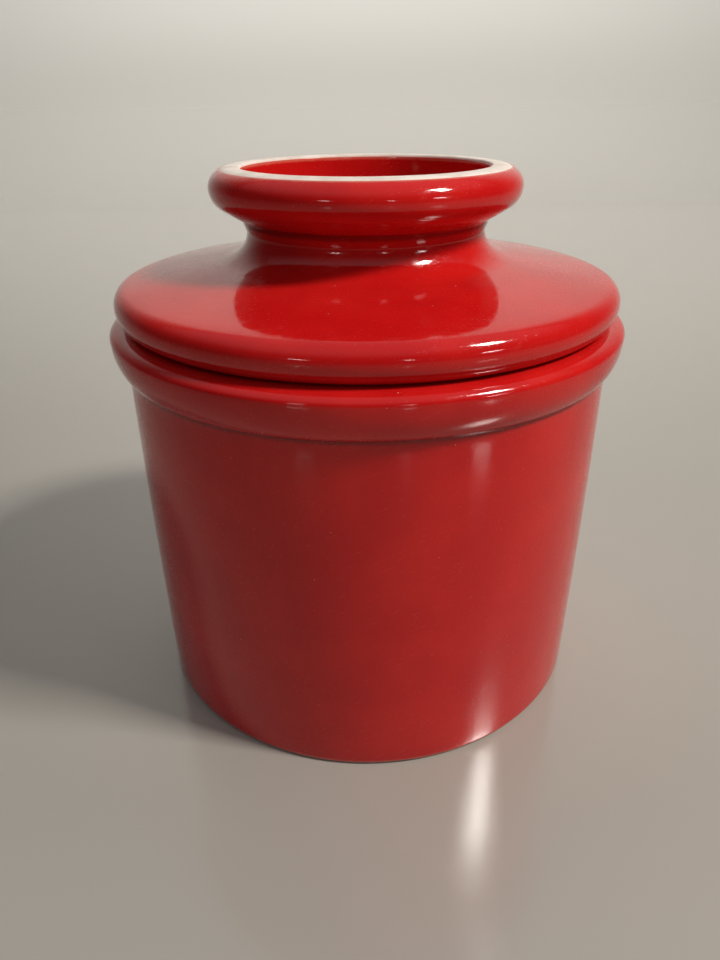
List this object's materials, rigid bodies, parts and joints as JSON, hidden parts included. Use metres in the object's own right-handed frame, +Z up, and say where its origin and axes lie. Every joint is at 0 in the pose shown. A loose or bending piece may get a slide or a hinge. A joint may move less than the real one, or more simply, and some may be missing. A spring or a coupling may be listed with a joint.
{
  "type": "butter crock",
  "caption": "Bell butter crock: a round glazed pot with a rolled rim, and a lift-off lid with a hollow foot on top and a butter bell hanging below.",
  "frame": {"origin": "centre of the pot's foot ring, on the surface it stands on", "axes": "+Z up along the turning axis, towards the lid; the object is turned, so X and Y are equal"},
  "size_m": [0.102, 0.102, 0.1066],
  "materials": {
    "crock_glaze": "glossy red glaze over pale stoneware, bare clay on the foot ring",
    "lid_glaze": "glossy red glaze over pale stoneware, bare off-white clay on the ring of the foot",
    "bare_stoneware": "unglazed, matt, fine-grained fired clay on the rings that the pieces stand on"
  },
  "bodies": {
    "crock": {"crock": "crock_glaze"},
    "lid": {"bell_lid": "lid_glaze"}
  },
  "joints": [
    {"name": "lid_lift", "type": "slide", "parent": "crock", "child": "lid", "axis": [0, 0, 1], "range_m": [0, 0.065]}
  ]
}
